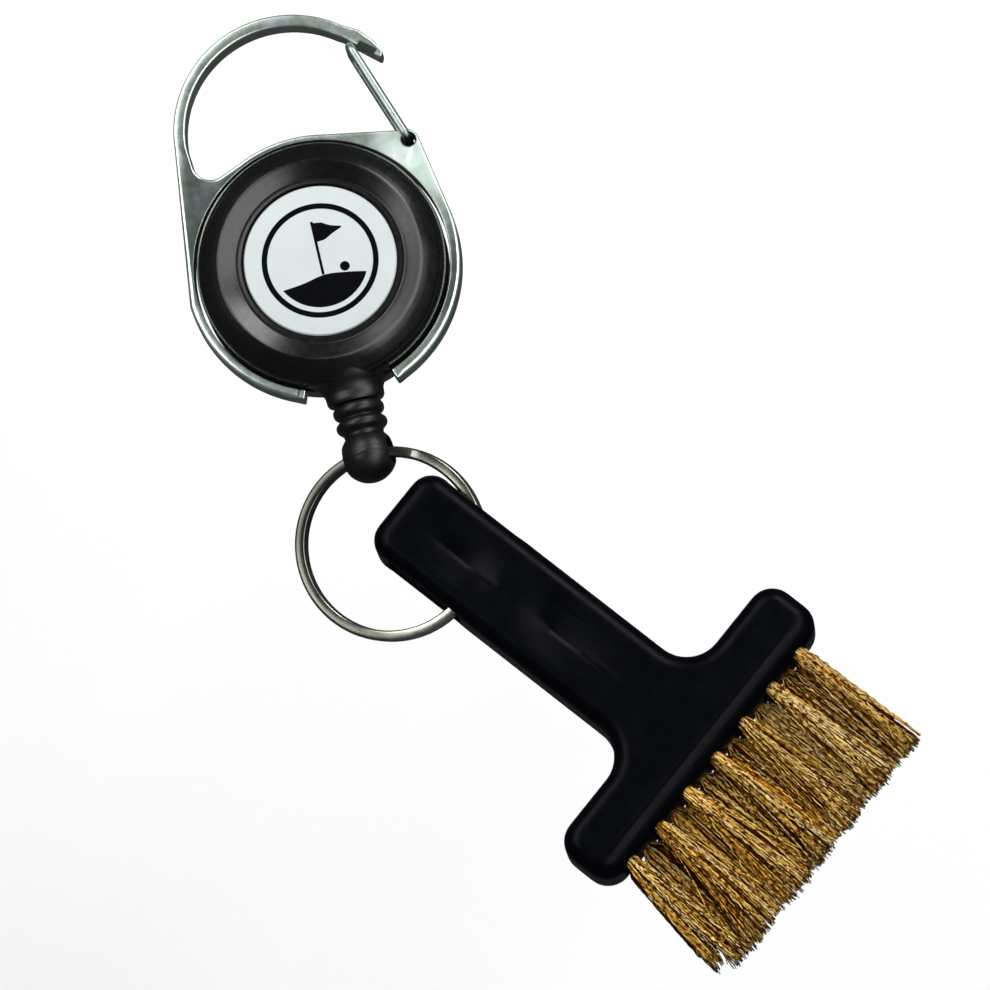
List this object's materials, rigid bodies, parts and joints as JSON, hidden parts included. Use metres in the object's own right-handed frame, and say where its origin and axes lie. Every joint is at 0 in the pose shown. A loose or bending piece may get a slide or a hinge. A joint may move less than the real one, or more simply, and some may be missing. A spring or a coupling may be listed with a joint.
{
  "type": "club groove brush",
  "caption": "T-shaped groove brush with brass wire bristles on a split ring, hung from a retractable cord reel in a carabiner frame.",
  "frame": {"origin": "centre of the reel case's flat back face", "axes": "+Z out of the reel's front label, along the spool's axis; -Y along the cord where it leaves the reel; +X to the gate's side of the carabiner frame"},
  "size_m": [0.0779, 0.1344, 0.0104],
  "materials": {
    "zinc_frame": "plated zinc casting, satin",
    "gate_wire": "bright drawn steel wire",
    "case_black": "semi-gloss moulded black plastic",
    "label_white": "silvery white domed label",
    "inner_plastic": "natural moulded plastic",
    "spring_steel": "blue spring steel strip",
    "cord_black": "braided nylon",
    "fitting_black": "semi-gloss moulded black plastic",
    "ring_nickel": "nickel plated spring steel",
    "handle_navy": "satin moulded plastic, near-black navy",
    "brass_wire": "crimped brass wire",
    "anchor_brass": "stamped brass strip"
  },
  "bodies": {
    "reel": {"carabiner_frame": "zinc_frame", "case_front": "case_black", "case_back": "case_black", "label_disc": "label_white", "mainspring": "spring_steel"},
    "gate": {"wire_gate": "gate_wire"},
    "spool": {"spool": "inner_plastic", "spring_cover": "inner_plastic", "cord_winding": "cord_black"},
    "cord_end": {"cord_run": "cord_black", "cord_knot": "cord_black"},
    "fitting": {"cord_end_fitting": "fitting_black"},
    "ring": {"split_ring": "ring_nickel"},
    "brush": {"brush_handle": "handle_navy", "bristle_tuft_01": "brass_wire", "bristle_tuft_02": "brass_wire", "bristle_tuft_03": "brass_wire", "bristle_tuft_04": "brass_wire", "bristle_tuft_05": "brass_wire", "bristle_tuft_06": "brass_wire", "bristle_tuft_07": "brass_wire", "bristle_tuft_08": "brass_wire", "bristle_tuft_09": "brass_wire", "bristle_tuft_10": "brass_wire", "bristle_tuft_11": "brass_wire", "bristle_tuft_12": "brass_wire", "bristle_tuft_13": "brass_wire", "bristle_tuft_14": "brass_wire", "bristle_tuft_15": "brass_wire", "bristle_tuft_16": "brass_wire", "bristle_tuft_17": "brass_wire", "bristle_tuft_18": "brass_wire", "bristle_tuft_19": "brass_wire", "bristle_tuft_20": "brass_wire", "tuft_anchor_01": "anchor_brass", "tuft_anchor_02": "anchor_brass", "tuft_anchor_03": "anchor_brass", "tuft_anchor_04": "anchor_brass", "tuft_anchor_05": "anchor_brass", "tuft_anchor_06": "anchor_brass", "tuft_anchor_07": "anchor_brass", "tuft_anchor_08": "anchor_brass", "tuft_anchor_09": "anchor_brass", "tuft_anchor_10": "anchor_brass", "tuft_anchor_11": "anchor_brass", "tuft_anchor_12": "anchor_brass", "tuft_anchor_13": "anchor_brass", "tuft_anchor_14": "anchor_brass", "tuft_anchor_15": "anchor_brass", "tuft_anchor_16": "anchor_brass", "tuft_anchor_17": "anchor_brass", "tuft_anchor_18": "anchor_brass", "tuft_anchor_19": "anchor_brass", "tuft_anchor_20": "anchor_brass"}
  },
  "joints": [
    {"name": "gate_swing", "type": "hinge", "parent": "reel", "child": "gate", "pos_m": [0.0144, 0.0134, 0.0052], "axis": [0, 0, 1], "range_deg": [0, 32], "stiffness_Nm_per_rad": 0.015, "springref_deg": -17.19},
    {"name": "cord_pull", "type": "slide", "parent": "reel", "child": "cord_end", "axis": [0, -1, 0], "range_m": [0, 0.6], "stiffness_N_per_m": 1, "springref_m": -1, "deforming": ["cord_run"]},
    {"name": "spool_spin", "type": "hinge", "parent": "reel", "child": "spool", "pos_m": [0, 0, 0.0046], "axis": [0, 0, -1], "range_deg": [0, 3100], "deforming": ["mainspring"]},
    {"name": "fitting_swivel", "type": "hinge", "parent": "cord_end", "child": "fitting", "pos_m": [0.0003, -0.0252, 0.0052], "axis": [0, 1, 0], "continuous": true},
    {"name": "ring_flap", "type": "hinge", "parent": "fitting", "child": "ring", "pos_m": [0.0003, -0.0252, 0.0052], "axis": [0.9835, -0.0016, 0.1808], "range_deg": [-70, 70]},
    {"name": "brush_on_ring", "type": "hinge", "parent": "ring", "child": "brush", "pos_m": [0.0005, -0.03675, 0.00401], "axis": [-0.18, -0.104, 0.9781], "range_deg": [-150, 25]}
  ],
  "couplings": [
    {"joint": "spool_spin", "follows": "cord_pull", "rad_per_m": 86.96}
  ]
}
